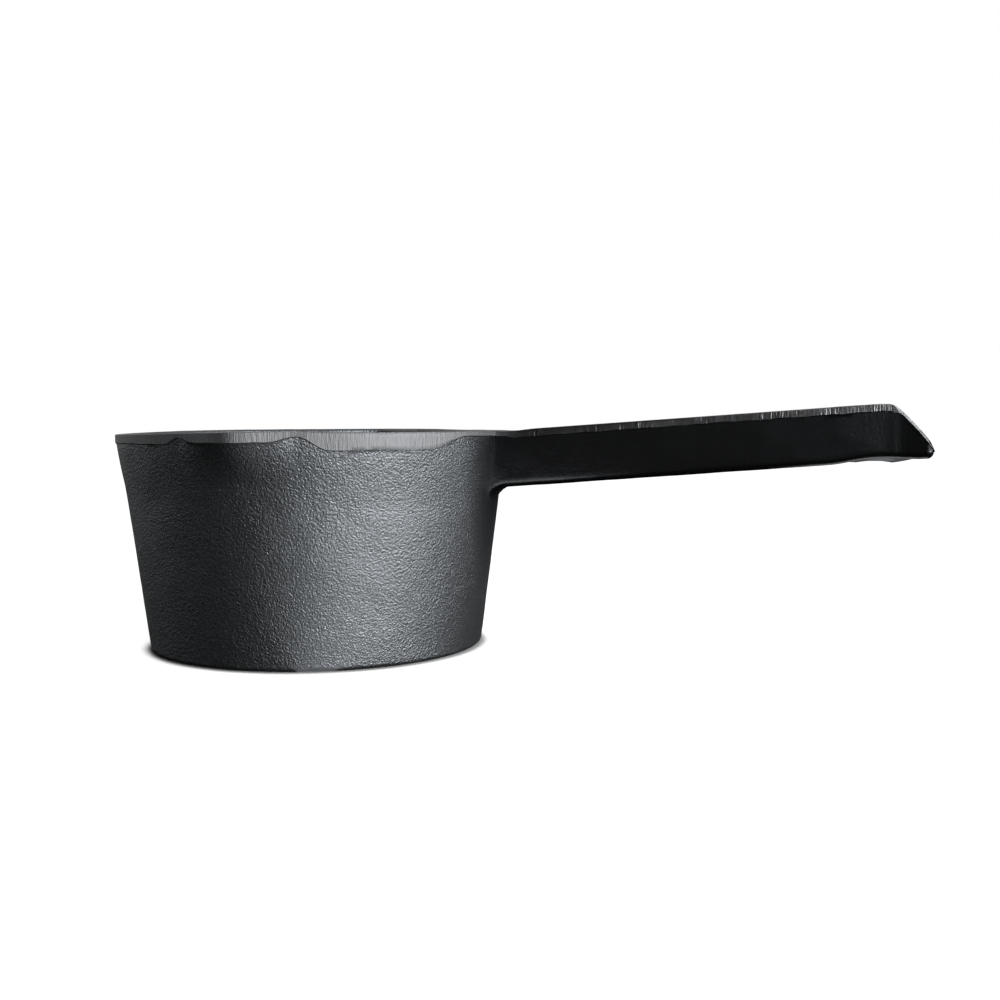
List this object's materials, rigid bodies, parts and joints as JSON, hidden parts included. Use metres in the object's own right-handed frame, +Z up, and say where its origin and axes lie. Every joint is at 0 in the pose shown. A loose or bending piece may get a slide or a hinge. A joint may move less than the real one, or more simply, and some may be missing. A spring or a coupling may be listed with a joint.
{
  "type": "cast-iron saucepan",
  "caption": "Round cast-iron saucepan with drafted sides, a ground rim with pouring lips on both sides and a straight rising handle with a bevelled end.",
  "frame": {"origin": "middle of the flat underside, on the table", "axes": "+Z up, +X along the handle, the pouring lips on +Y and -Y"},
  "size_m": [0.2959, 0.1594, 0.0886],
  "materials": {
    "cast_iron": "grey iron, sand-cast and seasoned black, satin, with a hand-ground rim"
  },
  "bodies": {
    "root": {"pan_floor": "cast_iron", "pan_wall": "cast_iron", "pour_lip_near": "cast_iron", "pour_lip_far": "cast_iron", "handle_shank": "cast_iron", "hanging_eye": "cast_iron"}
  },
  "joints": []
}
